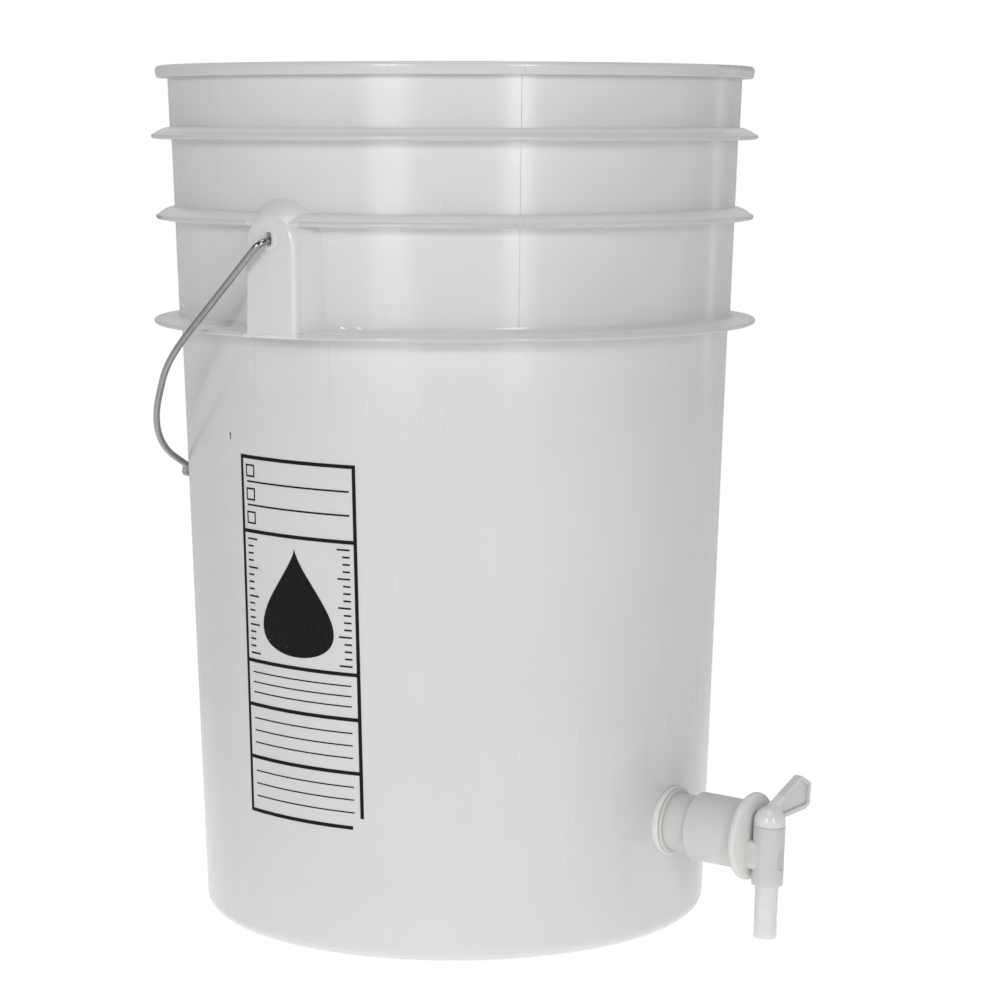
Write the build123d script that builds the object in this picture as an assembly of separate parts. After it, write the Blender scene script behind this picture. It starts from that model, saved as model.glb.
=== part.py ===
from build123d import *
from math import cos, hypot, radians, sin
import os

# Plastic fermenting bucket: a ribbed pail, a wire bail with a tube grip, and a bottling spigot.
#
# Frame: millimetres, +Z up, origin at the centre of the flat base. The spigot points to -Y, the ears
# and the bail's hinge line lie along X, and the bail hangs at rest down the back, on the +Y side.

# ---------------------------------------------------------------- pail, turned about Z
WALL_R_AT_BASE = 132.8      # outer radius of the wall's cone, carried down to z = 0
DRAFT = 0.0340              # growth of the radius per millimetre of height
WALL_T = 2.3
FLOOR_T = 2.6
BASE_CORNER_R = 7.0
PAIL_H = 442.9
STEP_LOW = 1.0              # the wall steps out at the lowest flange
STEP_TOP = 0.7              # and again at the highest one
STEP_RISE = 2.0             # height over which the wall steps out
RIM_R = 156.0
RIM_BAND_H = 6.1
RIM_UNDERCUT = 0.9          # how much narrower the band is at its lower edge
RIM_TOP_EDGE_R = 2.0
RIM_LOW_EDGE_R = 0.5
FOOT_W = 14.0               # width of the ring that the pail stands on
FOOT_PAD_R = 30.0           # flat pad in the middle of the base
FOOT_RECESS = 1.4

# name: edge radius, height of the underside, height of the root above it, bulge of the top face
FLANGES = {
    "low": (157.6, 310.2, 3.8, 0.0),
    "middle": (156.0, 364.2, 6.7, 0.8),
    "top": (158.1, 405.4, 6.4, 0.6),
}
# points of a flange's rounded nose: (distance inwards from the edge, height above the underside)
NOSE_TOP = (1.3, 2.8)
NOSE_TIP = (0.0, 1.45)
NOSE_LOW = (1.3, 0.3)
NOSE_END = (3.0, 0.0)
COVE_W = 1.3                # cove between the lowest flange's top face and the wall
COVE_H = 2.8
COVE_HOLLOW = 0.25          # depth of the cove's curve below a straight line between its ends
ROOT_T_INSIDE = 3.0         # thickness of a flange's root, measured down the wall
ROOT_T_OUTSIDE = 3.2

# ---------------------------------------------------------------- ears that carry the bail
EAR_FACE_X = 157.2
EAR_HALF_W = 14.3
EAR_ARCH_Z = 354.9          # centre of the rounded top of the front face
EAR_BACK_X = 140.0          # plane inside the wall where the flared outline ends
EAR_BACK_HALF_W = 24.4
EAR_BACK_ARCH_Z = 358.6
EAR_FACE_T = 2.4
EAR_EDGE_R = 2.2
HINGE_Z = 357.5
SLOT_R = 2.3
SLOT_RISE = 2.8             # distance between the centres of the slot's two round ends
SLOT_LOW_Z = 357.0
SLOT_RING_R = 5.3
SLOT_RING_H = 0.9
SLOT_RING_EDGE_R = 0.8
PAD_R = 9.7                 # low round pad under the slot's ring
PAD_H = 0.45
PAD_EDGE_R = 0.4

# ---------------------------------------------------------------- bail and grip
WIRE_R = 1.7
BAIL_DROOP = 44.0           # degrees below level at rest
BAIL_REACH = 205.4          # from the hinge line to the wire inside the grip
HOOK_X = 149.4
HOOK_LEN = 6.4
LEG_X = 164.0               # where the legs leave the hinge line
SHOULDER = (160.3, 86.5)    # corners of the bail's outline: (distance along X, reach)
HAUNCH = (119.4, 152.5)
KINK_START = (66.0, 180.8)
KINK_MIDDLE = (60.5, 188.5)
KINK_END = (48.5, 192.0)
GRIP_CORNER_X = 39.0
HOOK_BEND_R = 2.6
EAR_BEND_R = 5.5
SHOULDER_BEND_R = 74.0
HAUNCH_BEND_R = 160.0
KINK_BEND_R = 4.0
GRIP_R = 7.2
GRIP_END_R = 6.4
GRIP_BORE_R = 2.05
GRIP_HALF_L = 35.0
GRIP_GROOVES = 5
GRIP_GROOVE_PITCH = 11.0
GRIP_GROOVE_DEPTH = 0.5
GRIP_GROOVE_R = 2.5
GRIP_END_L = 3.0            # length of the taper at each end

# ---------------------------------------------------------------- spigot, in its own frame
SPIGOT_Z = 59.4             # height of the spigot's axis where it meets the wall
HOLE_R = 12.7
GASKET_R = 18.0
GASKET_BORE_R = 12.5
GASKET_FACE = 2.0           # distances along the spigot's axis, from the wall outwards
SEAT_FLANGE_R = 17.0
SEAT_FLANGE_END = 3.7
NECK_R = 14.8
BARREL_START = 15.8
BARREL_R = 17.5
DISC_START = 45.5
DISC_END = 48.4
DISC_R = 22.2
TAP_S = 57.0                # distance of the tap's upright axis from the wall
TAP_R = 8.0
TAP_TOP = 7.2
TAP_BOTTOM = -23.2
TAP_EDGE_R = 0.25
PASSAGE_DROP = 8.2          # the passage to the tap runs this far below the spigot's axis
PASSAGE_W = 15.4
PASSAGE_H = 14.4
PASSAGE_EDGE_R = 2.5
PASSAGE_BORE_R = 4.5
SHANK_R = 12.2
SHANK_ROOT_R = 11.2
SHANK_END = -24.0
THREAD_PITCH = 2.3
SHANK_BORE_R = 9.0
BARREL_BORE_R = 13.8
BARREL_FLOOR = 2.4
PLUG_BORE_R = 6.36
FLAT_R = 5.6                # shallow round flat on the front of the tap
FLAT_S = 7.25               # distance of the flat from the tap's axis
FLAT_DROP = 9.4
LUG_R = 3.2                 # small rounded lug behind the tap's foot
LUG_U = -19.8
LUG_S = 50.2

# ---------------------------------------------------------------- valve plug, lever and downspout
PLUG_R = 6.3
BEAD_R = 6.6
BEAD_GROOVE_R = 6.7
BEAD_U = 2.6
BEAD_H = 1.6
DOME_GAP = 0.18
DOME_CENTRE_U = 9.0
SPOUT_R = 5.9
SPOUT_BOTTOM = -50.6
SPOUT_BORE_R = 4.3
LEVER_T = 1.8
LEVER_RIB_T = 4.2
LEVER_RIB_W = 2.2
LEVER_FOOT_U = 9.0
LEVER_CREST = (28.8, 27.6)
LEVER_TIP_TOP = (38.9, 22.2)
LEVER_TIP_LOW = (38.7, 11.2)
LEVER_TOE = (35.2, 9.4)
LEVER_CORNER_R = 1.2

# ---------------------------------------------------------------- lock nut and inner gasket
INNER_GASKET_R = 17.5
NUT_FACE = -5.3
NUT_FLANGE_R = 20.0
NUT_FLANGE_T = 2.0
NUT_FLATS = 34.0
NUT_LEN = 9.5
NUT_BORE_R = 12.28


def wall_r(z):
    """Outer radius of the wall at height z."""
    radius = WALL_R_AT_BASE + DRAFT * z
    if z > FLANGES["low"][1]:
        radius += STEP_LOW
    if z > FLANGES["top"][1]:
        radius += STEP_TOP
    return radius


def turned(points):
    """Solid of revolution about Z from a closed outline of (radius, height) points."""
    outline = Polyline(*[(r, 0, z) for r, z in points], close=True)
    return revolve(make_face(outline), Axis.Z)


def wall_stack(offset, bottom, top):
    """Stepped cone that follows the wall, moved inwards by an offset, from bottom to top."""
    low_z = FLANGES["low"][1]
    top_z = FLANGES["top"][1]
    base_r = WALL_R_AT_BASE - offset
    points = [
        (0, bottom),
        (base_r + DRAFT * bottom, bottom),
        (base_r + DRAFT * low_z, low_z),
        (base_r + DRAFT * low_z + STEP_LOW, low_z + STEP_RISE),
        (base_r + DRAFT * top_z + STEP_LOW, top_z),
        (base_r + DRAFT * top_z + STEP_LOW + STEP_TOP, top_z + STEP_RISE),
        (base_r + DRAFT * top + STEP_LOW + STEP_TOP, top),
        (0, top),
    ]
    return turned(points)


def outer_circles(solid, radius):
    """The solid's round edges that are about as wide as a radius or wider."""
    circles = solid.edges().filter_by(GeomType.CIRCLE)
    return circles.filter_by(lambda e: e.radius > radius - 0.01)


def in_flange(name, point):
    """A point of a flange's section, from its distance inwards and its height above the underside."""
    edge_r, under_z, _, _ = FLANGES[name]
    return (edge_r - point[0], 0, under_z + point[1])


def flange_nose(name):
    """Rounded outer edge of a flange, from its top face round to its underside."""
    arc = ThreePointArc(in_flange(name, NOSE_TOP), in_flange(name, NOSE_TIP), in_flange(name, NOSE_LOW))
    return arc + Line(in_flange(name, NOSE_LOW), in_flange(name, NOSE_END))


def flange_underside(name, root_top):
    """The hollow underside, from the nose to the wall, then up inside the wall to the root's top."""
    _, under_z, rise, _ = FLANGES[name]
    inner_r = wall_r(under_z) - WALL_T / 2
    return Polyline(
        in_flange(name, NOSE_END),
        (wall_r(under_z), 0, under_z + rise - ROOT_T_OUTSIDE),
        (inner_r, 0, under_z + rise - ROOT_T_INSIDE),
        (inner_r, 0, root_top[2]),
        root_top,
    )


def low_flange():
    """The lowest flange: an almost level top face that meets the wall in a small cove."""
    _, under_z, rise, _ = FLANGES["low"]
    root_z = under_z + rise
    cove_start = (wall_r(root_z) + COVE_W, 0, root_z)
    cove_end = (wall_r(root_z + COVE_H), 0, root_z + COVE_H)
    cove_l = hypot(COVE_W, COVE_H)
    mid = (
        (cove_start[0] + cove_end[0]) / 2 - COVE_HOLLOW * COVE_H / cove_l,
        0,
        root_z + COVE_H / 2 - COVE_HOLLOW * COVE_W / cove_l,
    )
    top_face = Line(in_flange("low", NOSE_TOP), cove_start)
    crest = top_face + ThreePointArc(cove_start, mid, cove_end)
    section = make_face(crest + flange_nose("low") + flange_underside("low", cove_end))
    return revolve(section, Axis.Z)


def sloped_flange(name):
    """A flange whose top face rises in a shallow bulge to the wall, hollow underneath."""
    _, under_z, rise, bulge = FLANGES[name]
    nose = in_flange(name, NOSE_TOP)
    root = (wall_r(under_z + rise), 0, under_z + rise)
    width = nose[0] - root[0]
    height = root[2] - nose[2]
    chord_l = hypot(width, height)
    mid = (
        root[0] + width / 2 + bulge * height / chord_l,
        0,
        nose[2] + height / 2 + bulge * width / chord_l,
    )
    crest = ThreePointArc(nose, mid, root)
    section = make_face(crest + flange_nose(name) + flange_underside(name, root))
    return revolve(section, Axis.Z)


def rim_band():
    """The band round the mouth: a flat seat on top and a square step under it."""
    low_z = PAIL_H - RIM_BAND_H
    inner_r = wall_r(low_z) - WALL_T / 2
    band = turned([
        (inner_r, low_z),
        (RIM_R - RIM_UNDERCUT, low_z),
        (RIM_R, PAIL_H),
        (inner_r, PAIL_H),
    ])
    edges = outer_circles(band, RIM_R - RIM_UNDERCUT).sort_by(Axis.Z)
    band = fillet(edges[0], RIM_LOW_EDGE_R)
    top_edge = outer_circles(band, RIM_R - 1).sort_by(Axis.Z)[-1]
    return fillet(top_edge, RIM_TOP_EDGE_R)


def ear_outline(x, half_w, arch_z, bottom_z):
    """Face in the plane at x: straight sides with a half-round top."""
    plane = Plane(origin=(x, 0, 0), x_dir=(0, 1, 0), z_dir=(1, 0, 0))
    arch = ThreePointArc((half_w, arch_z), (0, arch_z + half_w), (-half_w, arch_z))
    sides = Polyline((-half_w, arch_z), (-half_w, bottom_z), (half_w, bottom_z), (half_w, arch_z))
    return plane * make_face(arch + sides)


def ear_shell():
    """The +X ear before it is hollowed, with a round pad and a ring about the slot."""
    bottom_z = FLANGES["low"][1] + NOSE_TIP[1]
    front = ear_outline(EAR_FACE_X, EAR_HALF_W, EAR_ARCH_Z, bottom_z)
    back = ear_outline(EAR_BACK_X, EAR_BACK_HALF_W, EAR_BACK_ARCH_Z, bottom_z)
    ear = loft([back, front])
    face_edges = ear.faces().sort_by(Axis.X)[-1].edges()
    upper_edges = face_edges.filter_by(lambda e: e.center().Z > bottom_z + 1)
    ear = fillet(upper_edges, EAR_EDGE_R)
    hole_mid = SLOT_LOW_Z + SLOT_RISE / 2
    face = Plane(origin=(EAR_FACE_X, 0, hole_mid), x_dir=(0, 1, 0), z_dir=(1, 0, 0))
    ring = round_pad(face, SLOT_RING_R, SLOT_RING_H, SLOT_RING_EDGE_R)
    pad = round_pad(face, PAD_R, PAD_H, PAD_EDGE_R)
    return ear + ring + pad


def round_pad(face, radius, height, edge_r):
    """Low disc standing on a plane, its outer edge rounded."""
    disc = extrude(face * Circle(radius), height)
    return fillet(disc.edges().sort_by(Axis.X)[-1], edge_r)


def ear_hollow():
    """The space inside the +X ear, open below, and the slot that the wire passes through."""
    inner_x = EAR_FACE_X - EAR_FACE_T
    bottom_z = FLANGES["low"][1] - 1
    front = ear_outline(inner_x, EAR_HALF_W - EAR_FACE_T, EAR_ARCH_Z, bottom_z)
    back = ear_outline(EAR_BACK_X, EAR_BACK_HALF_W - EAR_FACE_T, EAR_BACK_ARCH_Z, bottom_z)
    hollow = loft([back, front]) - wall_stack(0, 0, PAIL_H)
    face = Plane(origin=(inner_x - 1, 0, 0), x_dir=(0, 1, 0), z_dir=(1, 0, 0))
    slot_mid = Pos(0, SLOT_LOW_Z + SLOT_RISE / 2)
    slot = face * (slot_mid * SlotCenterToCenter(SLOT_RISE, SLOT_R * 2, rotation=90))
    return hollow + extrude(slot, EAR_FACE_T + SLOT_RING_H + 2)


def spigot_plane():
    """Frame of the spigot: Z along its axis away from the pail, Y up the wall, X along the wall."""
    lean = (0, -1, -DRAFT)
    return Plane(origin=(0, -wall_r(SPIGOT_Z), SPIGOT_Z), x_dir=(1, 0, 0), z_dir=lean)


def along_axis(radius, start, end):
    """Cylinder on the spigot's axis, in the spigot's frame, from start to end."""
    return Pos(0, 0, start) * extrude(Circle(radius), end - start)


def upright(radius, bottom, top):
    """Cylinder on the tap's upright axis, in the spigot's frame, from bottom to top."""
    base = Plane(origin=(0, bottom, TAP_S), x_dir=(1, 0, 0), z_dir=(0, 1, 0))
    return extrude(base * Circle(radius), top - bottom)


def make_pail():
    """The pail: wall, floor, rim, three flanges and two ears, in one moulding."""
    outside = wall_stack(0, 0, PAIL_H)
    outside = fillet(outside.edges().sort_by(Axis.Z)[0], BASE_CORNER_R)
    for ring in (low_flange(), sloped_flange("middle"), sloped_flange("top"), rim_band()):
        outside += ring
    ear = ear_shell()
    outside += ear
    outside += mirror(ear, Plane.YZ)
    hollow = ear_hollow()
    outside -= hollow
    outside -= mirror(hollow, Plane.YZ)
    inside = wall_stack(WALL_T, FLOOR_T, PAIL_H + 1)
    inside = fillet(inside.edges().sort_by(Axis.Z)[0], BASE_CORNER_R - WALL_T)
    pail = outside - inside
    foot_r = WALL_R_AT_BASE - BASE_CORNER_R - FOOT_W
    recess = turned([(FOOT_PAD_R, 0), (foot_r, 0), (foot_r - 1, FOOT_RECESS), (FOOT_PAD_R + 1, FOOT_RECESS)])
    pail -= recess
    return pail - spigot_plane() * along_axis(HOLE_R, -3 * WALL_T, 3 * WALL_T)


def bail_plane():
    """Frame of the bail at rest: X along the hinge line, Y from the hinge towards the grip."""
    droop = radians(BAIL_DROOP)
    return Plane(origin=(0, 0, HINGE_Z), x_dir=(1, 0, 0), z_dir=(0, sin(droop), cos(droop)))


def make_bail():
    """The wire: a hook in each ear, two legs, a kink at each end of the grip, one piece."""
    half = [
        (HOOK_X, -HOOK_LEN),
        (HOOK_X, 0),
        (LEG_X, 0),
        SHOULDER,
        HAUNCH,
        KINK_START,
        KINK_MIDDLE,
        KINK_END,
        (GRIP_CORNER_X, BAIL_REACH),
    ]
    other = [(-x, y) for x, y in reversed(half)]
    bends = [HOOK_BEND_R, EAR_BEND_R, SHOULDER_BEND_R, HAUNCH_BEND_R] + [KINK_BEND_R] * 4
    path = FilletPolyline(*half, *other, radius=bends + bends[::-1])
    start = Plane(origin=path @ 0, z_dir=path % 0)
    return bail_plane() * sweep(start * Circle(WIRE_R), path=path)


def make_grip():
    """A moulded tube on the straight part of the wire, with shallow finger grooves."""
    outline = turned([
        (GRIP_BORE_R, -GRIP_HALF_L),
        (GRIP_END_R, -GRIP_HALF_L),
        (GRIP_R, GRIP_END_L - GRIP_HALF_L),
        (GRIP_R, GRIP_HALF_L - GRIP_END_L),
        (GRIP_END_R, GRIP_HALF_L),
        (GRIP_BORE_R, GRIP_HALF_L),
    ])
    first = -GRIP_GROOVE_PITCH * (GRIP_GROOVES - 1) / 2
    for index in range(GRIP_GROOVES):
        mid = first + index * GRIP_GROOVE_PITCH
        outline -= Pos(0, 0, mid) * Torus(GRIP_R + GRIP_GROOVE_R - GRIP_GROOVE_DEPTH, GRIP_GROOVE_R)
    circles = outline.edges().filter_by(GeomType.CIRCLE)
    ends = circles.filter_by(lambda e: abs(e.radius - GRIP_END_R) < 0.01)
    outline = fillet(ends, 1.0)
    return bail_plane() * Pos(0, BAIL_REACH, 0) * Rot(0, 90, 0) * outline


def thread_rings():
    """Outline of the shank with one ring for each turn of its thread."""
    points = [(0, SHANK_END), (SHANK_ROOT_R, SHANK_END)]
    crest = THREAD_PITCH * 0.25
    z = SHANK_END + 1.0
    while z + THREAD_PITCH < 0:
        points += [
            (SHANK_ROOT_R, z),
            (SHANK_R, z + crest),
            (SHANK_R, z + 2 * crest),
            (SHANK_ROOT_R, z + 3 * crest),
        ]
        z += THREAD_PITCH
    points += [(SHANK_ROOT_R, z), (SHANK_R, z + crest), (SHANK_R, SEAT_FLANGE_END), (0, SEAT_FLANGE_END)]
    return turned(points)


def square_passage():
    """Block that joins the disc to the tap, its long edges rounded."""
    outline = Pos(0, -PASSAGE_DROP) * RectangleRounded(PASSAGE_W, PASSAGE_H, PASSAGE_EDGE_R)
    return Pos(0, 0, DISC_START + 1) * extrude(outline, TAP_S - DISC_START - 1)


def make_spigot_body():
    """Seat flange, neck, barrel, disc, passage and the tap's upright body, with a threaded shank."""
    seat = along_axis(SEAT_FLANGE_R, GASKET_FACE, SEAT_FLANGE_END)
    seat = fillet(seat.edges().filter_by(GeomType.CIRCLE), 0.5)
    neck = along_axis(NECK_R, SEAT_FLANGE_END - 0.5, BARREL_START + 1)
    barrel = along_axis(BARREL_R, BARREL_START, DISC_START + 1)
    barrel = fillet(barrel.edges().filter_by(GeomType.CIRCLE).sort_by(Axis.Z)[0], 2.0)
    disc = along_axis(DISC_R, DISC_START, DISC_END)
    disc = fillet(disc.edges().filter_by(GeomType.CIRCLE), 1.1)
    passage = square_passage()
    tap = upright(TAP_R, TAP_BOTTOM, TAP_TOP)
    tap = fillet(tap.edges().filter_by(GeomType.CIRCLE), TAP_EDGE_R)
    lug = Pos(0, LUG_U, LUG_S) * Sphere(LUG_R)
    body = thread_rings() + seat + neck + barrel + disc + passage + tap + lug
    body -= along_axis(SHANK_BORE_R, SHANK_END - 1, BARREL_START + 3)
    body -= along_axis(BARREL_BORE_R, BARREL_START + 3, DISC_START - BARREL_FLOOR)
    body -= Pos(0, -PASSAGE_DROP, 0) * along_axis(PASSAGE_BORE_R, DISC_START - BARREL_FLOOR - 1, TAP_S)
    body -= upright(PLUG_BORE_R, TAP_BOTTOM - 5, TAP_TOP + 1)
    body -= upright(BEAD_GROOVE_R, BEAD_U - 0.2, BEAD_U + BEAD_H + 0.2)
    body -= Pos(0, -FLAT_DROP, 0) * along_axis(FLAT_R, TAP_S + FLAT_S, TAP_S + 2 * TAP_R)
    return spigot_plane() * body


def lever_outline():
    """The lever's fan-shaped side view, rising from the dome to its tip."""
    dome_top = DOME_CENTRE_U + TAP_R
    points = [(0, LEVER_FOOT_U), LEVER_TOE, LEVER_TIP_LOW, LEVER_TIP_TOP, LEVER_CREST, (0, dome_top)]
    return make_face(Polyline(*points, close=True))


def make_valve_plug():
    """Domed plug with its lever, side port and downspout. The port faces away from the lever."""
    stem = upright(PLUG_R, TAP_BOTTOM - 1, TAP_TOP + DOME_GAP + 1)
    bead = upright(BEAD_R, BEAD_U, BEAD_U + BEAD_H)
    bead = chamfer(bead.edges().filter_by(GeomType.CIRCLE), 0.25)
    spout = upright(SPOUT_R, SPOUT_BOTTOM, TAP_BOTTOM)
    spout = fillet(spout.edges().filter_by(GeomType.CIRCLE).sort_by(Axis.Y)[0], 0.4)
    skirt = upright(TAP_R, TAP_TOP + DOME_GAP, DOME_CENTRE_U)
    dome = Pos(0, DOME_CENTRE_U, TAP_S) * Sphere(TAP_R)
    dome -= upright(2 * TAP_R, DOME_CENTRE_U - 2 * TAP_R, DOME_CENTRE_U)
    side = lever_outline()
    corners = [v for v in side.vertices() if v.X > TAP_R]
    side = fillet(corners, LEVER_CORNER_R)
    window = offset(side, -LEVER_RIB_W)
    frame = extrude(Pos(0, 0, TAP_S - LEVER_RIB_T / 2) * side, LEVER_RIB_T)
    pocket_t = (LEVER_RIB_T - LEVER_T) / 2
    pocket = extrude(window, pocket_t + 1)
    frame -= Pos(0, 0, TAP_S + LEVER_T / 2) * pocket
    frame -= Pos(0, 0, TAP_S - LEVER_T / 2 - pocket_t - 1) * pocket
    plug = stem + bead + spout + skirt + dome + frame
    port_u = -PASSAGE_DROP
    plug -= upright(SPOUT_BORE_R, SPOUT_BOTTOM - 1, port_u + SPOUT_BORE_R)
    port = Plane(origin=(0, port_u, TAP_S), x_dir=(0, 1, 0), z_dir=(-1, 0, 0))
    plug -= extrude(port * Circle(SPOUT_BORE_R), PLUG_R + 1)
    return spigot_plane() * plug


def make_outer_gasket():
    """Ring between the wall and the seat flange, shaped to the wall's curve."""
    ring = along_axis(GASKET_R, -WALL_T, GASKET_FACE) - along_axis(GASKET_BORE_R, -WALL_T, GASKET_FACE)
    ring = fillet(outer_circles(ring, GASKET_R).sort_by(Axis.Z)[-1], 0.6)
    return spigot_plane() * ring - wall_stack(0, 0, PAIL_H)


def make_inner_gasket():
    """Ring between the wall's inside and the lock nut, shaped to the wall's curve."""
    ring = along_axis(INNER_GASKET_R, NUT_FACE, 0) - along_axis(GASKET_BORE_R, NUT_FACE, 0)
    return (spigot_plane() * ring) & wall_stack(WALL_T, FLOOR_T, PAIL_H)


def make_lock_nut():
    """Flanged hexagon nut on the shank, inside the pail."""
    end = NUT_FACE - NUT_LEN
    flange = along_axis(NUT_FLANGE_R, NUT_FACE - NUT_FLANGE_T, NUT_FACE)
    flange = fillet(flange.edges().filter_by(GeomType.CIRCLE), 0.5)
    hexagon = RegularPolygon(NUT_FLATS / 2, 6, major_radius=False)
    body = Pos(0, 0, end) * extrude(hexagon, NUT_LEN - NUT_FLANGE_T / 2)
    body = fillet(body.edges().filter_by(Axis.Z), 1.0)
    nut = flange + body - along_axis(NUT_BORE_R, end - 1, NUT_FACE + 1)
    return spigot_plane() * nut


PARTS = {
    "pail": make_pail,
    "bail_wire": make_bail,
    "bail_grip": make_grip,
    "spigot_body": make_spigot_body,
    "valve_plug": make_valve_plug,
    "outer_gasket": make_outer_gasket,
    "inner_gasket": make_inner_gasket,
    "lock_nut": make_lock_nut,
}

os.makedirs("parts", exist_ok=True)
for node, build in PARTS.items():
    export_step(build(), f"parts/{node}.step")
    print(node, "written")

tap_axis = spigot_plane() * Pos(0, 0, TAP_S)
print("valve's turning axis passes", tap_axis.position)
grip_axis = bail_plane() * Pos(0, BAIL_REACH, 0)
print("grip's axis passes", grip_axis.position)
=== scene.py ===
import math

import bmesh
import bpy
from mathutils import Matrix, Vector
from mathutils.bvhtree import BVHTree


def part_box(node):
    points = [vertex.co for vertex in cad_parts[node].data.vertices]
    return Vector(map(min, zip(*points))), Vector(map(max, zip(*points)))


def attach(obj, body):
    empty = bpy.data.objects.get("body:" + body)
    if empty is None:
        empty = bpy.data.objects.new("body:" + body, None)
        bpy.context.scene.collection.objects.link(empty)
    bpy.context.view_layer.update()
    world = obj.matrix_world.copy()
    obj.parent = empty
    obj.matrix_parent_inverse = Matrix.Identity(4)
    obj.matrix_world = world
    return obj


# Looks of the plastic fermenting bucket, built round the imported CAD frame. All lengths are in metres.
MM = 0.001

# ---------------------------------------------------------------- places read from the frame
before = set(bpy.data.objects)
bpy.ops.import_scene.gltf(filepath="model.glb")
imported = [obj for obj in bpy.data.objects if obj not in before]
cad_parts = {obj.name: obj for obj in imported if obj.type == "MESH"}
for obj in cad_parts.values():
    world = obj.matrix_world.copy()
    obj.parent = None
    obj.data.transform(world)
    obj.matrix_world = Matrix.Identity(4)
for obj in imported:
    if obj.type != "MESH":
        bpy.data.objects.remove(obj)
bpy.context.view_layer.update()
PAIL_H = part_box("pail")[1].z
EAR_AZ = 90.0                   # the ears lie on the X axis, 90 degrees round from the spigot

# ---------------------------------------------------------------- sizes of the added details
INK_LIFT = 0.06 * MM            # printed ink above the wall
LINE_LIFT = 0.02 * MM
SEAM_AZ = 43.0                  # split lines of the mould, measured from the spigot's side
SEAM_W = 0.34 * MM
SEAM_H = 0.17 * MM
SEAM_LOW_Z = 316.0 * MM         # the split lines start above the lowest flange
SEAM_BELOW_RIM = 2.2 * MM
INSERT_OFFSETS = (-8.8, 9.6)    # degrees from each ear to the lines of the mould's insert
INSERT_LOW_Z = 280.0 * MM
INSERT_HIGH_Z = 308.5 * MM
PANEL_AZ = -89.9                # the printed panel lies under the -X ear
PANEL_W = 71.6 * MM
PANEL_LOW = 67.0 * MM
PANEL_HIGH = 249.8 * MM
PANEL_TILT = -0.018             # the print is a little out of level
FRAME_LINE = 1.9 * MM
PANEL_RULES = (212.5 * MM, 146.5 * MM, 123.9 * MM, 96.8 * MM)   # tops of the lines across the panel
FRAME_WORN = 6.0 * MM           # stretch of the frame missing at its lower right corner
FLECK_P = -45.0 * MM            # a fleck of ink above the panel
FLECK_Z = 256.2 * MM
SLOT_MIDDLE_Z = 358.4 * MM      # the slots that the bail's ends pass through
SLOT_HALF_W = 2.42 * MM
SLOT_HALF_H = 3.82 * MM
SLOT_FACE_X = 158.05 * MM
SLOT_BACK_X = 145.4 * MM
EAR_ARCH_Z = 354.9 * MM         # the ears' hollows, a little inside their walls
EAR_HOLLOW_HALF_W = 11.6 * MM
EAR_HOLLOW_X = 155.0 * MM
EAR_HOLLOW_LOW_Z = 318.0 * MM
EAR_HALF_W = 15.5 * MM          # the ears, with a little to spare
EARS_TOP_Z = 384.9 * MM
NOSE_R = 154.2 * MM             # the flanges' noses lie outside this radius
FLANGES_LOW_Z = 288.0 * MM      # all the flanges are above this
RIM_TONE_H = 8.0 * MM           # the rim's band and the last of the wall under it
DISC_FACE = -181.23 * MM        # Y of the spigot disc's outer face, where it meets z = 0
DISC_DULL_T = 2.8 * MM          # how far to each side of that face the disc is duller
SPIGOT_LEAN = 0.034

# ---------------------------------------------------------------- camera, as the object is looked at
VIEW_AZ = -55.2                 # degrees round from the spigot's side
VIEW_DISTANCE = 1.545
VIEW_HEIGHT = 0.416
VIEW_YAW = 0.88
VIEW_PITCH = 7.41
VIEW_ROLL = 0.10
SENSOR = 36.0
LENS = 105.5

# ---------------------------------------------------------------- light of the studio
FLOOR_WHITE = 0.90              # how much of what the camera sees of the floor is plain white
BACKDROP_LIGHT = 0.63           # strength of the surroundings behind the bucket
ROOM_LIGHT = 0.17               # strength of the surroundings on the camera's side


def around(azimuth, radius, z=0.0):
    """Point at an azimuth in degrees from the spigot's side (-Y), positive towards +X."""
    a = math.radians(azimuth)
    return Vector((radius * math.sin(a), -radius * math.cos(a), z))


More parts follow.
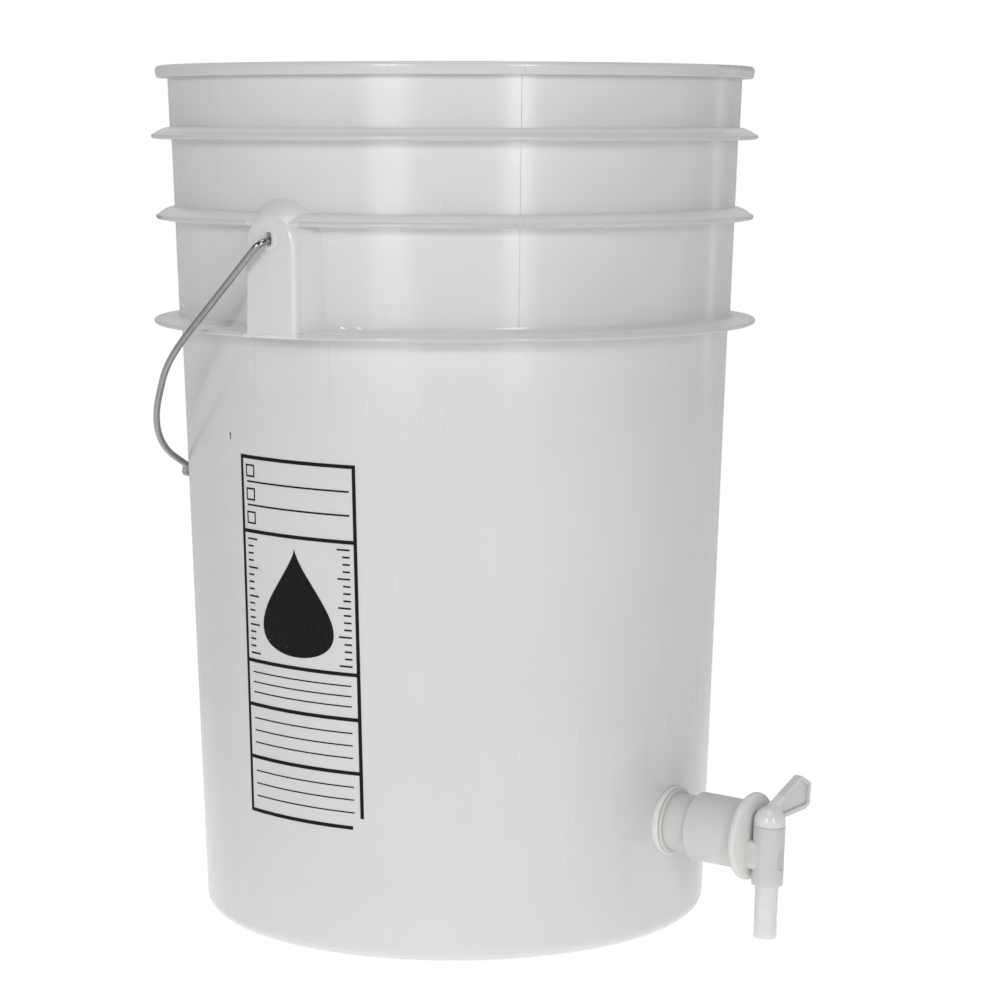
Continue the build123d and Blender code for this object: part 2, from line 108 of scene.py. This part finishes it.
# ================================================================ materials
class Shader:
    """A small helper that adds nodes to one material and links them."""

    def __init__(self, name):
        self.material = bpy.data.materials.new(name)
        self.material.use_nodes = True
        self.tree = self.material.node_tree
        self.bsdf = self.tree.nodes["Principled BSDF"]
        self.coords = self.tree.nodes.new("ShaderNodeTexCoord").outputs["Object"]

    def add(self, kind, **inputs):
        node = self.tree.nodes.new(kind)
        for key, value in inputs.items():
            self.put(node, key.replace("_", " "), value)
        return node

    def put(self, node, key, value):
        socket = node.inputs[key]
        if isinstance(value, bpy.types.NodeSocket):
            self.tree.links.new(value, socket)
        else:
            socket.default_value = value

    def set(self, **inputs):
        for key, value in inputs.items():
            self.put(self.bsdf, key.replace("_", " "), value)

    def stretched(self, scale):
        mapping = self.add("ShaderNodeMapping", Scale=scale)
        self.tree.links.new(self.coords, mapping.inputs["Vector"])
        return mapping.outputs["Vector"]

    def noise(self, scale, detail=3.0, rough=0.55, vector=None, distortion=0.0):
        node = self.add("ShaderNodeTexNoise", Scale=scale, Detail=detail, Roughness=rough)
        node.inputs["Distortion"].default_value = distortion
        self.tree.links.new(vector or self.coords, node.inputs["Vector"])
        return node.outputs["Fac"]

    def math(self, operation, a, b=0.0, c=0.0, clamp=False):
        node = self.tree.nodes.new("ShaderNodeMath")
        node.operation = operation
        node.use_clamp = clamp
        for index, value in enumerate((a, b, c)):
            self.put(node, index, value)
        return node.outputs[0]

    def remap(self, value, low, high, to_low, to_high):
        node = self.add("ShaderNodeMapRange")
        node.clamp = True
        for key, number in (("From Min", low), ("From Max", high), ("To Min", to_low), ("To Max", to_high)):
            node.inputs[key].default_value = number
        self.tree.links.new(value, node.inputs["Value"])
        return node.outputs["Result"]

    def mix(self, factor, first, second):
        node = self.tree.nodes.new("ShaderNodeMix")
        node.data_type = "RGBA"
        self.put(node, 0, factor)
        self.put(node, 6, first)
        self.put(node, 7, second)
        return node.outputs[2]

    def bump(self, height, distance, strength=1.0, normal=None):
        node = self.add("ShaderNodeBump", Strength=strength, Distance=distance, Height=height)
        if normal is not None:
            self.tree.links.new(normal, node.inputs["Normal"])
        return node.outputs["Normal"]

    def axis(self, name):
        split = self.add("ShaderNodeSeparateXYZ", Vector=self.coords)
        return split.outputs[name]


def grey(value, warmth=0.0):
    """Colour near a neutral grey, warmer towards the reds and yellows with positive warmth."""
    return (value * (1 + warmth), value, value * (1 - 1.6 * warmth), 1.0)


def scratches(s, along, across, threshold):
    """Mask of fine lines that run up the wall, broken up by a coarser noise."""
    lines = s.noise(1.0, detail=2.0, rough=0.6, vector=s.stretched((across, across, along)))
    patches = s.noise(14.0, detail=3.0)
    sharp = s.remap(lines, threshold, threshold + 0.05, 0.0, 1.0)
    where = s.remap(patches, 0.50, 0.64, 0.0, 1.0)
    return s.math("MULTIPLY", sharp, where)


def slot_wall_painted_light(s):
    """Mask of the thin walls of the ears' slots, painted lighter than the wall and given a weak glow:
    painted light in place of light scattered through the plastic.
    """
    across = s.math("LESS_THAN", s.math("ABSOLUTE", s.axis("Y")), SLOT_HALF_W)
    rise = s.math("SUBTRACT", s.axis("Z"), SLOT_MIDDLE_Z)
    upright = s.math("LESS_THAN", s.math("ABSOLUTE", rise), SLOT_HALF_H)
    side = s.math("ABSOLUTE", s.axis("X"))
    within = s.math("MULTIPLY", across, upright)
    behind_face = s.math("LESS_THAN", side, SLOT_FACE_X)
    before_back = s.math("GREATER_THAN", side, SLOT_BACK_X)
    return s.math("MULTIPLY", within, s.math("MULTIPLY", behind_face, before_back))


def ear_hollow_painted_light(s):
    """Mask of the hollow behind each ear's face, which a weak glow makes lighter than the lamps leave it:
    painted light.
    """
    rise = s.math("MAXIMUM", s.math("SUBTRACT", s.axis("Z"), EAR_ARCH_Z), 0.0)
    reach = s.math("SQRT", s.math("ADD", s.math("POWER", rise, 2.0), s.math("POWER", s.axis("Y"), 2.0)))
    inside = s.math("LESS_THAN", reach, EAR_HOLLOW_HALF_W)
    side = s.math("ABSOLUTE", s.axis("X"))
    behind_face = s.math("LESS_THAN", side, EAR_HOLLOW_X)
    before_back = s.math("GREATER_THAN", side, SLOT_BACK_X)
    above = s.math("GREATER_THAN", s.axis("Z"), EAR_HOLLOW_LOW_Z)
    between = s.math("MULTIPLY", behind_face, before_back)
    return s.math("MULTIPLY", s.math("MULTIPLY", inside, above), between)


def painted_shade_edges(s):
    """Mask of the flanges' noses and the rim's band, which are toned a little greyer than the wall as
    painted shade.
    """
    across = s.math("ADD", s.math("POWER", s.axis("X"), 2.0), s.math("POWER", s.axis("Y"), 2.0))
    nose = s.remap(s.math("SQRT", across), NOSE_R, NOSE_R + 0.8 * MM, 0.0, 1.0)
    clear_of_ears = s.remap(s.math("ABSOLUTE", s.axis("Y")), EAR_HALF_W, EAR_HALF_W + 1.5 * MM, 0.0, 1.0)
    above_ears = s.math("GREATER_THAN", s.axis("Z"), EARS_TOP_Z)
    clear_of_ears = s.math("MAXIMUM", clear_of_ears, above_ears)
    rim_low = PAIL_H - RIM_TONE_H
    rim = s.remap(s.axis("Z"), rim_low, rim_low + 0.8 * MM, 0.0, 0.6)
    below_rim = s.math("LESS_THAN", s.axis("Z"), rim_low)
    noses = s.math("MULTIPLY", s.math("MULTIPLY", nose, clear_of_ears), below_rim)
    return s.math("MAXIMUM", noses, rim)


def flange_tops_painted_light(s):
    """Mask of the flanges' upward faces, which a weak glow makes lighter than the lamps leave them: painted
    light.
    """
    normal = s.add("ShaderNodeNewGeometry").outputs["Normal"]
    up = s.add("ShaderNodeSeparateXYZ", Vector=normal).outputs["Z"]
    level = s.remap(up, 0.40, 0.85, 0.0, 1.0)
    above = s.math("GREATER_THAN", s.axis("Z"), FLANGES_LOW_Z)
    below_rim = s.math("LESS_THAN", s.axis("Z"), PAIL_H - RIM_TONE_H)
    return s.math("MULTIPLY", level, s.math("MULTIPLY", above, below_rim))


def pail_plastic():
    """White polyethylene: satin and faintly clouded, with an orange-peel skin, scuffs and flow marks.

    A weak glow lifts the flanges' tops, the ears' hollows and the slots as painted light, in place of
    scattered light; the slots' walls are also painted lighter, and the flanges' noses and the rim's band
    greyer as painted shade.
    """
    s = Shader("pail_plastic")
    cloud = s.noise(9.0, detail=4.0)
    flow = s.noise(1.0, detail=3.0, vector=s.stretched((70.0, 70.0, 6.0)))
    body = s.mix(s.remap(cloud, 0.35, 0.65, 0.0, 1.0), grey(0.600, 0.001), grey(0.622, -0.003))
    body = s.mix(s.remap(flow, 0.45, 0.75, 0.0, 0.30), body, grey(0.575, 0.002))
    low = s.remap(s.axis("Z"), 0.004, 0.045, 1.0, 0.0)
    scuff = s.noise(420.0, detail=6.0, rough=0.7)
    scuffed = s.math("MULTIPLY", s.remap(scuff, 0.60, 0.72, 0.0, 0.5), low)
    colour = s.mix(scuffed, body, grey(0.46, 0.010))
    # Painted shade: the flanges' noses and the rim's band are mixed towards a darker grey.
    colour = s.mix(s.math("MULTIPLY", painted_shade_edges(s), 0.5), colour, grey(0.40, 0.004))
    # Painted light: the slots' thin walls are mixed towards a much lighter grey.
    colour = s.mix(slot_wall_painted_light(s), colour, grey(0.80, 0.020))
    # Painted light: a weak glow lights the ears' hollows and the slots.
    glow = s.math("MULTIPLY", s.math("MAXIMUM", ear_hollow_painted_light(s), slot_wall_painted_light(s)), 0.10)
    # Painted light: a weak glow lights the flanges' tops.
    glow = s.math("ADD", glow, s.math("MULTIPLY", flange_tops_painted_light(s), 0.08))
    marks = scratches(s, 5.0, 900.0, 0.63)
    skin_rough = s.remap(s.noise(45.0, detail=4.0), 0.3, 0.7, 0.17, 0.22)
    rough = s.math("ADD", skin_rough, s.math("MULTIPLY", marks, 0.10))
    rough = s.math("ADD", rough, s.math("MULTIPLY", scuffed, 0.25), clamp=True)
    wave = s.bump(s.noise(12.0, detail=1.0), 0.16 * MM)
    peel = s.bump(s.noise(620.0, detail=2.0), 0.012 * MM, normal=wave)
    cut = s.bump(s.math("MULTIPLY", marks, -1.0), 0.02 * MM, normal=peel)
    s.set(Base_Color=colour, Roughness=rough, Normal=cut, IOR=1.51, Subsurface_Weight=0.18)
    s.set(Subsurface_Radius=(0.0045, 0.0044, 0.0042), Subsurface_Scale=1.0, Specular_IOR_Level=0.50)
    s.set(Emission_Color=(1.0, 0.99, 0.94, 1.0), Emission_Strength=glow)
    s.material.cycles.emission_sampling = "NONE"
    return s.material


def spigot_plastic():
    """Natural polypropylene: cloudy, with faint swirls and a fine skin.

    The disc is duller than the rest, and its outer face is paler: painted light that lifts the shaded
    crevice between the disc and the tap.
    """
    s = Shader("spigot_plastic")
    swirl = s.noise(60.0, detail=3.0, distortion=1.0)
    colour = s.mix(s.remap(swirl, 0.30, 0.75, 0.0, 1.0), grey(0.560, 0.012), grey(0.585, 0.010))
    dust = s.remap(s.noise(900.0, detail=5.0, rough=0.7), 0.66, 0.78, 0.0, 0.25)
    colour = s.mix(dust, colour, grey(0.54, 0.02))
    along = s.math("ADD", s.axis("Y"), s.math("MULTIPLY", s.axis("Z"), SPIGOT_LEAN))
    from_face = s.math("ABSOLUTE", s.math("SUBTRACT", along, DISC_FACE))
    # Painted light: the disc's outer face is mixed towards a paler grey, lifting the shade between the disc
    # and the tap.
    painted_light_disc_face = s.remap(from_face, 0.1 * MM, 0.3 * MM, 1.0, 0.0)
    colour = s.mix(painted_light_disc_face, colour, grey(0.70, 0.012))
    rough = s.remap(s.noise(260.0, detail=4.0), 0.3, 0.7, 0.38, 0.50)
    rough = s.math("MAXIMUM", rough, s.remap(from_face, DISC_DULL_T, DISC_DULL_T + 1.2 * MM, 0.72, 0.0))
    shine = s.remap(from_face, DISC_DULL_T, DISC_DULL_T + 1.2 * MM, 0.10, 0.35)
    skin = s.bump(s.noise(1500.0, detail=2.0), 0.008 * MM)
    sink = s.bump(s.noise(90.0, detail=1.0), 0.05 * MM, normal=skin)
    s.set(Base_Color=colour, Roughness=rough, Normal=sink, IOR=1.49, Subsurface_Weight=0.50)
    s.set(Subsurface_Radius=(0.0080, 0.0079, 0.0076), Subsurface_Scale=1.0, Specular_IOR_Level=shine)
    return s.material


def plug_plastic():
    """The dome and downspout are white and glossy; the thin lever lets light through and looks greyer."""
    s = Shader("plug_plastic")
    cloud = s.noise(120.0, detail=3.0)
    solid = s.mix(s.remap(cloud, 0.35, 0.65, 0.0, 1.0), grey(0.640, 0.004), grey(0.665, 0.002))
    streak = s.noise(1.0, detail=3.0, vector=s.stretched((60.0, 400.0, 150.0)), distortion=0.6)
    thin = s.mix(s.remap(streak, 0.35, 0.70, 0.0, 1.0), grey(0.540, 0.006), grey(0.590, 0.006))
    lever = s.remap(s.axis("X"), 0.0085, 0.0110, 0.0, 1.0)
    rough = s.remap(s.noise(340.0, detail=5.0), 0.3, 0.7, 0.05, 0.09)
    skin = s.bump(s.noise(160.0, detail=1.0), 0.008 * MM)
    fine = s.bump(s.noise(1800.0, detail=2.0), 0.003 * MM, normal=skin)
    s.set(Base_Color=s.mix(lever, solid, thin), Roughness=rough, Normal=fine, IOR=1.49)
    s.set(Subsurface_Weight=0.35, Subsurface_Radius=(0.0050, 0.0050, 0.0048), Subsurface_Scale=1.0)
    s.set(Coat_Weight=0.15)
    return s.material


def zinc_wire():
    """Galvanised wire: polished and streaky by the ears, duller, stained and crystalline lower down."""
    s = Shader("zinc_wire")
    crystals = s.add("ShaderNodeTexVoronoi", Vector=s.coords, Scale=520.0)
    stain = s.noise(60.0, detail=5.0, rough=0.65)
    drawn = s.noise(1.0, detail=2.0, vector=s.stretched((1400.0, 1400.0, 120.0)))
    dull = s.remap(s.axis("Z"), 0.250, 0.315, 1.0, 0.0)
    coarse = s.mix(crystals.outputs["Distance"], grey(0.36, -0.004), grey(0.30, -0.003))
    body = s.mix(dull, grey(0.34, -0.004), coarse)
    colour = s.mix(s.remap(stain, 0.48, 0.70, 0.0, 0.60), body, grey(0.22, 0.004))
    rough = s.math("ADD", s.remap(stain, 0.35, 0.70, 0.05, 0.13), s.math("MULTIPLY", dull, 0.22))
    lines = s.bump(drawn, 0.003 * MM)
    dents = s.bump(s.noise(330.0, detail=2.0), 0.005 * MM, normal=lines)
    s.set(Base_Color=colour, Metallic=1.0, Roughness=rough, Normal=dents)
    return s.material


def grip_plastic():
    """White polyethylene tube, matte from handling."""
    s = Shader("grip_plastic")
    grime = s.noise(150.0, detail=5.0, rough=0.65)
    colour = s.mix(s.remap(grime, 0.50, 0.72, 0.0, 0.6), grey(0.66, 0.002), grey(0.52, 0.015))
    rough = s.remap(s.noise(400.0, detail=4.0), 0.3, 0.7, 0.42, 0.58)
    skin = s.bump(s.noise(900.0, detail=2.0), 0.02 * MM)
    s.set(Base_Color=colour, Roughness=rough, Normal=skin, IOR=1.51, Subsurface_Weight=0.2)
    s.set(Subsurface_Radius=(0.004, 0.004, 0.003), Subsurface_Scale=1.0)
    return s.material


def gasket_rubber():
    """Pale soft rubber, a little yellow, dry and slightly dusty."""
    s = Shader("gasket_rubber")
    cloud = s.noise(210.0, detail=4.0)
    colour = s.mix(s.remap(cloud, 0.35, 0.65, 0.0, 1.0), grey(0.66, 0.012), grey(0.71, 0.010))
    dust = s.bump(s.noise(1300.0, detail=3.0, rough=0.7), 0.015 * MM)
    rough = s.remap(s.noise(500.0, detail=4.0), 0.3, 0.7, 0.55, 0.72)
    s.set(Base_Color=colour, Roughness=rough, Normal=dust, IOR=1.43, Subsurface_Weight=0.4)
    s.set(Subsurface_Radius=(0.003, 0.003, 0.002), Subsurface_Scale=1.0, Specular_IOR_Level=0.20)
    return s.material


def screen_ink():
    """Black screen-printing ink, matte, with a little mottle."""
    s = Shader("screen_ink")
    mottle = s.noise(700.0, detail=4.0, rough=0.6)
    colour = s.mix(s.remap(mottle, 0.35, 0.75, 0.0, 1.0), grey(0.004), grey(0.012))
    rough = s.remap(s.noise(300.0, detail=3.0), 0.3, 0.7, 0.52, 0.68)
    film = s.bump(s.noise(1600.0, detail=3.0), 0.008 * MM)
    s.set(Base_Color=colour, Roughness=rough, Normal=film, IOR=1.5, Specular_IOR_Level=0.12)
    return s.material


def studio_floor():
    """Pale floor, nearly pure white to the camera, that throws only a soft glow on the bucket."""
    s = Shader("studio_floor")
    tone = s.noise(1.3, detail=2.0)
    s.set(Base_Color=s.mix(tone, grey(0.80), grey(0.82)), Roughness=0.9)
    reach = s.tree.nodes.new("ShaderNodeVectorMath")
    reach.operation = "LENGTH"
    s.put(reach, 0, s.coords)
    bounce = s.remap(reach.outputs["Value"], 0.14, 0.60, 0.60, 0.27)
    s.set(Emission_Color=(1.0, 1.0, 1.0, 1.0), Emission_Strength=bounce)
    glow = s.add("ShaderNodeEmission", Color=(1.0, 1.0, 1.0, 1.0), Strength=1.06)
    share = s.add("ShaderNodeMixShader")
    path = s.add("ShaderNodeLightPath")
    seen = s.math("MULTIPLY", path.outputs["Is Camera Ray"], FLOOR_WHITE)
    s.put(share, 0, seen)
    s.put(share, 1, s.bsdf.outputs[0])
    s.put(share, 2, glow.outputs[0])
    s.tree.links.new(share.outputs[0], s.tree.nodes["Material Output"].inputs["Surface"])
    s.material.cycles.emission_sampling = "NONE"
    return s.material


MATERIALS = {
    "pail": pail_plastic(),
    "bail_wire": zinc_wire(),
    "bail_grip": grip_plastic(),
    "spigot_body": spigot_plastic(),
    "valve_plug": plug_plastic(),
    "outer_gasket": gasket_rubber(),
}
MATERIALS["inner_gasket"] = MATERIALS["outer_gasket"]
MATERIALS["lock_nut"] = MATERIALS["spigot_body"]
INK = screen_ink()


def dress_cad_nodes():
    """Gives each CAD node its material and smooth shading across shallow edges."""
    for name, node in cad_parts.items():
        node.data.materials.clear()
        node.data.materials.append(MATERIALS[name])
        node.data.shade_smooth()


# ================================================================ pieces that lie on the pail's wall
pail_tree = BVHTree.FromObject(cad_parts["pail"], bpy.context.evaluated_depsgraph_get())
FAR = 0.4


def on_wall(azimuth, z, lift):
    """Point on the pail's outside at an azimuth and height, lifted outwards."""
    outside = around(azimuth, FAR, z)
    inwards = around(azimuth, -1.0)
    hit = pail_tree.ray_cast(outside, inwards)[0]
    return hit - inwards * lift


def piece_from(name, verts, faces, material, body):
    """Mesh object from plain lists, riding on a body and taking a material."""
    mesh = bpy.data.meshes.new(name)
    mesh.from_pydata([tuple(v) for v in verts], [], faces)
    mesh.update()
    work = bmesh.new()
    work.from_mesh(mesh)
    bmesh.ops.recalc_face_normals(work, faces=work.faces)
    work.to_mesh(mesh)
    work.free()
    mesh.materials.append(material)
    obj = bpy.data.objects.new(name, mesh)
    bpy.context.scene.collection.objects.link(obj)
    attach(obj, body)


class Print:
    """Collects flat shapes drawn in the panel's plane and wraps them round the wall."""

    CELL = 2.0 * MM

    def __init__(self, centre_az):
        self.centre_az = centre_az
        self.verts = []
        self.faces = []

    def place(self, p, z):
        """Point at arc distance p from the panel's centre line, to the right as it is read."""
        z += PANEL_TILT * p
        radius = Vector(on_wall(self.centre_az, z, 0)).xy.length
        azimuth = self.centre_az + math.degrees(p / radius)
        return on_wall(azimuth, z, INK_LIFT)

    def grid(self, rows):
        """Joins rows of points, each with the same number of points, with quads."""
        start = len(self.verts)
        width = len(rows[0])
        for row in rows:
            self.verts += [self.place(p, z) for p, z in row]
        for r in range(len(rows) - 1):
            for c in range(width - 1):
                a = start + r * width + c
                self.faces.append((a, a + 1, a + width + 1, a + width))

    def bar(self, p0, p1, z0, z1):
        """A filled rectangle, in cells small enough to follow the wall."""
        across = max(1, math.ceil(abs(p1 - p0) / self.CELL))
        up = max(1, math.ceil(abs(z1 - z0) / self.CELL))
        self.grid([
            [(p0 + (p1 - p0) * c / across, z0 + (z1 - z0) * r / up) for c in range(across + 1)]
            for r in range(up + 1)
        ])

    def box(self, p0, p1, z0, z1, line):
        """Outline of a rectangle, its line drawn inwards."""
        self.bar(p0, p1, z0, z0 + line)
        self.bar(p0, p1, z1 - line, z1)
        self.bar(p0, p0 + line, z0 + line, z1 - line)
        self.bar(p1 - line, p1, z0 + line, z1 - line)

    def drop(self, z, half_w, height):
        """A plain drop of liquid, pointed at the top, filled by rings from its middle outwards."""
        steps = 72
        rings = 10
        rows = []
        for r in range(rings + 1):
            share = r / rings
            row = []
            for k in range(steps + 1):
                t = 2 * math.pi * k / steps
                p = half_w * math.sin(t) * (1 - math.cos(t)) * 0.77
                up = 0.5 * height * math.cos(t)
                row.append((share * p, z + share * up))
            rows.append(row)
        self.grid(rows)


def panel_head(art, half, low):
    """Three blank rows, each with a square to tick."""
    row_h = (PANEL_HIGH - FRAME_LINE - low) / 3
    square = 6.4 * MM
    for row in range(3):
        top = PANEL_HIGH - FRAME_LINE - row * row_h
        middle = top - row_h / 2
        left = 4.0 * MM - half
        art.box(left, left + square, middle - square / 2, middle + square / 2, 0.9 * MM)
        if row > 0:
            art.bar(4.6 * MM - half, half - 3.6 * MM, top, top + 0.9 * MM)


def panel_scales(art, half, low, high):
    """A level scale along each side of the figure, and the figure itself, a drop."""
    ticks = 16
    pitch = (high - low - 6 * MM) / ticks
    for tick in range(ticks + 1):
        z = low + 2.6 * MM + tick * pitch
        length = 7.0 * MM if tick % 4 == 0 else 4.0 * MM
        edge = half - 4.0 * MM
        art.bar(-edge, length - edge, z, z + 0.9 * MM)
        art.bar(edge - length, edge, z, z + 0.9 * MM)
    art.drop((low + high) / 2, 22.0 * MM, 55.0 * MM)


def panel_lines(art, half, low, high):
    """Blank ruled lines to write on."""
    lines = 4
    for line in range(1, lines):
        z = low + line * (high - low) / lines
        art.bar(5.0 * MM - half, half - 5.0 * MM, z, z + 0.7 * MM)


def printed_panel():
    """Generic black print under the ear: a framed record panel with blank rows, scales and a drop."""
    art = Print(PANEL_AZ)
    half = PANEL_W / 2
    art.bar(-half, half, PANEL_HIGH - FRAME_LINE, PANEL_HIGH)
    art.bar(-half, FRAME_LINE - half, PANEL_LOW, PANEL_HIGH - FRAME_LINE)
    art.bar(half - FRAME_LINE, half, PANEL_LOW + FRAME_WORN, PANEL_HIGH - FRAME_LINE)
    art.bar(FRAME_LINE - half, half - FRAME_WORN, PANEL_LOW, PANEL_LOW + FRAME_LINE)
    for top in PANEL_RULES:
        art.bar(FRAME_LINE - half, half - FRAME_LINE, top - FRAME_LINE, top)
    panel_head(art, half, PANEL_RULES[0])
    panel_scales(art, half, PANEL_RULES[1], PANEL_RULES[0] - FRAME_LINE)
    for high, low in zip(PANEL_RULES[1:], PANEL_RULES[2:] + (PANEL_LOW + FRAME_LINE,)):
        panel_lines(art, half, low, high - FRAME_LINE)
    art.bar(FLECK_P, FLECK_P + 1.4 * MM, FLECK_Z + 2.4 * MM, FLECK_Z + 3.2 * MM)
    art.bar(FLECK_P + 0.5 * MM, FLECK_P + 1.2 * MM, FLECK_Z, FLECK_Z + 2.4 * MM)
    piece_from("printed_panel", art.verts, art.faces, INK, "bucket")


def ridge(points, outward, width, height, verts, faces):
    """Adds a thin three-sided ridge along points on the wall."""
    start = len(verts)
    for i, point in enumerate(points):
        ahead = points[min(i + 1, len(points) - 1)] - points[max(i - 1, 0)]
        side = ahead.cross(outward).normalized() * width / 2
        sunk = outward * 0.05 * MM
        verts += [point - side - sunk, point + outward * height, point + side - sunk]
    for i in range(len(points) - 1):
        a = start + 3 * i
        faces += [(a, a + 1, a + 4, a + 3), (a + 1, a + 2, a + 5, a + 4)]


def wall_line(azimuth, low, high, step=0.6 * MM):
    """Points up the pail's outside at one azimuth."""
    count = max(2, int((high - low) / step))
    return [on_wall(azimuth, low + (high - low) * i / count, LINE_LIFT) for i in range(count + 1)]


def mould_lines():
    """Split lines of the four-part mould above the lowest flange, and the ear inserts' lines below it."""
    verts = []
    faces = []
    for azimuth in (-SEAM_AZ, SEAM_AZ, 180 - SEAM_AZ, 180 + SEAM_AZ):
        out = around(azimuth, 1.0)
        line = wall_line(azimuth, SEAM_LOW_Z, PAIL_H - SEAM_BELOW_RIM)
        ridge(line, out, SEAM_W, SEAM_H, verts, faces)
    for ear in (-EAR_AZ, EAR_AZ):
        for offset in INSERT_OFFSETS:
            out = around(ear + offset, 1.0)
            line = wall_line(ear + offset, INSERT_LOW_Z, INSERT_HIGH_Z)
            ridge(line, out, SEAM_W, SEAM_H * 0.7, verts, faces)
    piece_from("mould_lines", verts, faces, MATERIALS["pail"], "bucket")


# ================================================================ studio
def build_floor():
    """A wide pale floor with a soft rise at its far edge, all the way round."""
    rings = [(0.5, 0.0), (2.0, 0.0), (5.0, 0.0), (9.0, 0.0), (12.0, 0.15), (14.0, 0.8), (15.0, 2.2)]
    steps = 96
    work = bmesh.new()
    centre = work.verts.new((0, 0, 0))
    loops = []
    for radius, z in rings:
        loops.append([work.verts.new(around(360.0 * k / steps, radius, z)) for k in range(steps)])
    for k in range(steps):
        work.faces.new((centre, loops[0][k], loops[0][(k + 1) % steps]))
    for inner, outer in zip(loops, loops[1:]):
        for k in range(steps):
            n = (k + 1) % steps
            work.faces.new((inner[k], outer[k], outer[n], inner[n]))
    bmesh.ops.recalc_face_normals(work, faces=work.faces)
    mesh = bpy.data.meshes.new("studio_floor")
    work.to_mesh(mesh)
    work.free()
    mesh.shade_smooth()
    mesh.materials.append(studio_floor())
    floor = bpy.data.objects.new("studio_floor", mesh)
    bpy.context.scene.collection.objects.link(floor)


def soft_light(name, azimuth, distance, height, target_z, width, tall, power):
    """Rectangular soft light, aimed at a height on the bucket's axis."""
    data = bpy.data.lights.new(name, "AREA")
    data.shape = "RECTANGLE"
    data.size = width
    data.size_y = tall
    data.energy = power
    lamp = bpy.data.objects.new(name, data)
    lamp.location = around(azimuth, distance, height)
    aim = Vector((0, 0, target_z)) - lamp.location
    lamp.rotation_euler = aim.to_track_quat("-Z", "Y").to_euler()
    lamp.visible_camera = False
    bpy.context.scene.collection.objects.link(lamp)


def build_lights():
    """A tall softbox and a smaller lamp on each side of the camera, one above, and cards at the sides."""
    soft_light("left_box", VIEW_AZ - 25, 2.3, 0.64, 0.22, 0.62, 1.2, 8.0)
    soft_light("left_head", VIEW_AZ - 25, 2.2, 1.05, 0.22, 0.42, 0.42, 8.0)
    soft_light("right_box", VIEW_AZ + 24, 2.3, 0.64, 0.22, 0.40, 1.2, 8.5)
    soft_light("right_head", VIEW_AZ + 24, 2.2, 1.05, 0.22, 0.36, 0.36, 4.0)
    soft_light("over_box", VIEW_AZ, 0.35, 2.40, 0.25, 1.2, 1.2, 12.0)
    soft_light("left_card", VIEW_AZ - 80, 2.5, 1.20, 0.36, 0.9, 1.2, 1.3)
    soft_light("right_card", VIEW_AZ + 128, 2.5, 0.60, 0.22, 0.24, 1.8, 1.2)
    soft_light("right_fill", VIEW_AZ + 92, 2.5, 0.90, 0.30, 0.9, 1.4, 0.7)
    build_world()


def build_world():
    """White to the camera; to everything else bright behind the bucket and dim on the camera's side."""
    world = bpy.data.worlds.new("studio")
    bpy.context.scene.world = world
    world.use_nodes = True
    world.cycles.sampling_method = "NONE"
    tree = world.node_tree
    tree.nodes.clear()
    out = tree.nodes.new("ShaderNodeOutputWorld")
    seen = tree.nodes.new("ShaderNodeBackground")
    seen.inputs["Strength"].default_value = 1.0
    seen.inputs["Color"].default_value = (1, 1, 1, 1)
    towards = tree.nodes.new("ShaderNodeTexCoord")
    facing = tree.nodes.new("ShaderNodeVectorMath")
    facing.operation = "DOT_PRODUCT"
    facing.inputs[1].default_value = around(VIEW_AZ, 1.0)
    tree.links.new(towards.outputs["Generated"], facing.inputs[0])
    level = tree.nodes.new("ShaderNodeMapRange")
    level.inputs["From Min"].default_value = -0.30
    level.inputs["From Max"].default_value = -0.20
    level.inputs["To Min"].default_value = BACKDROP_LIGHT
    level.inputs["To Max"].default_value = ROOM_LIGHT
    tree.links.new(facing.outputs["Value"], level.inputs["Value"])
    soft = tree.nodes.new("ShaderNodeBackground")
    soft.inputs["Color"].default_value = (1, 1, 1, 1)
    tree.links.new(level.outputs["Result"], soft.inputs["Strength"])
    path = tree.nodes.new("ShaderNodeLightPath")
    pick = tree.nodes.new("ShaderNodeMixShader")
    tree.links.new(path.outputs["Is Camera Ray"], pick.inputs[0])
    tree.links.new(soft.outputs[0], pick.inputs[1])
    tree.links.new(seen.outputs[0], pick.inputs[2])
    tree.links.new(pick.outputs[0], out.inputs["Surface"])


def build_camera():
    """Camera just below the rim's height, looking slightly down, with a very small yaw and roll."""
    data = bpy.data.cameras.new("camera")
    data.sensor_width = SENSOR
    data.lens = LENS
    camera = bpy.data.objects.new("camera", data)
    turn = Matrix.Rotation(math.radians(VIEW_AZ), 4, "Z")
    yaw = Matrix.Rotation(math.radians(-VIEW_YAW), 4, "Z")
    tilt = Matrix.Rotation(math.radians(90 - VIEW_PITCH), 4, "X")
    roll = Matrix.Rotation(math.radians(VIEW_ROLL), 4, "Z")
    place = Matrix.Translation((0, -VIEW_DISTANCE, VIEW_HEIGHT))
    camera.matrix_world = turn @ place @ yaw @ tilt @ roll
    bpy.context.scene.collection.objects.link(camera)
    bpy.context.scene.camera = camera


dress_cad_nodes()
printed_panel()
mould_lines()
build_floor()
build_lights()
build_camera()
bpy.context.scene.view_settings.view_transform = "Standard"
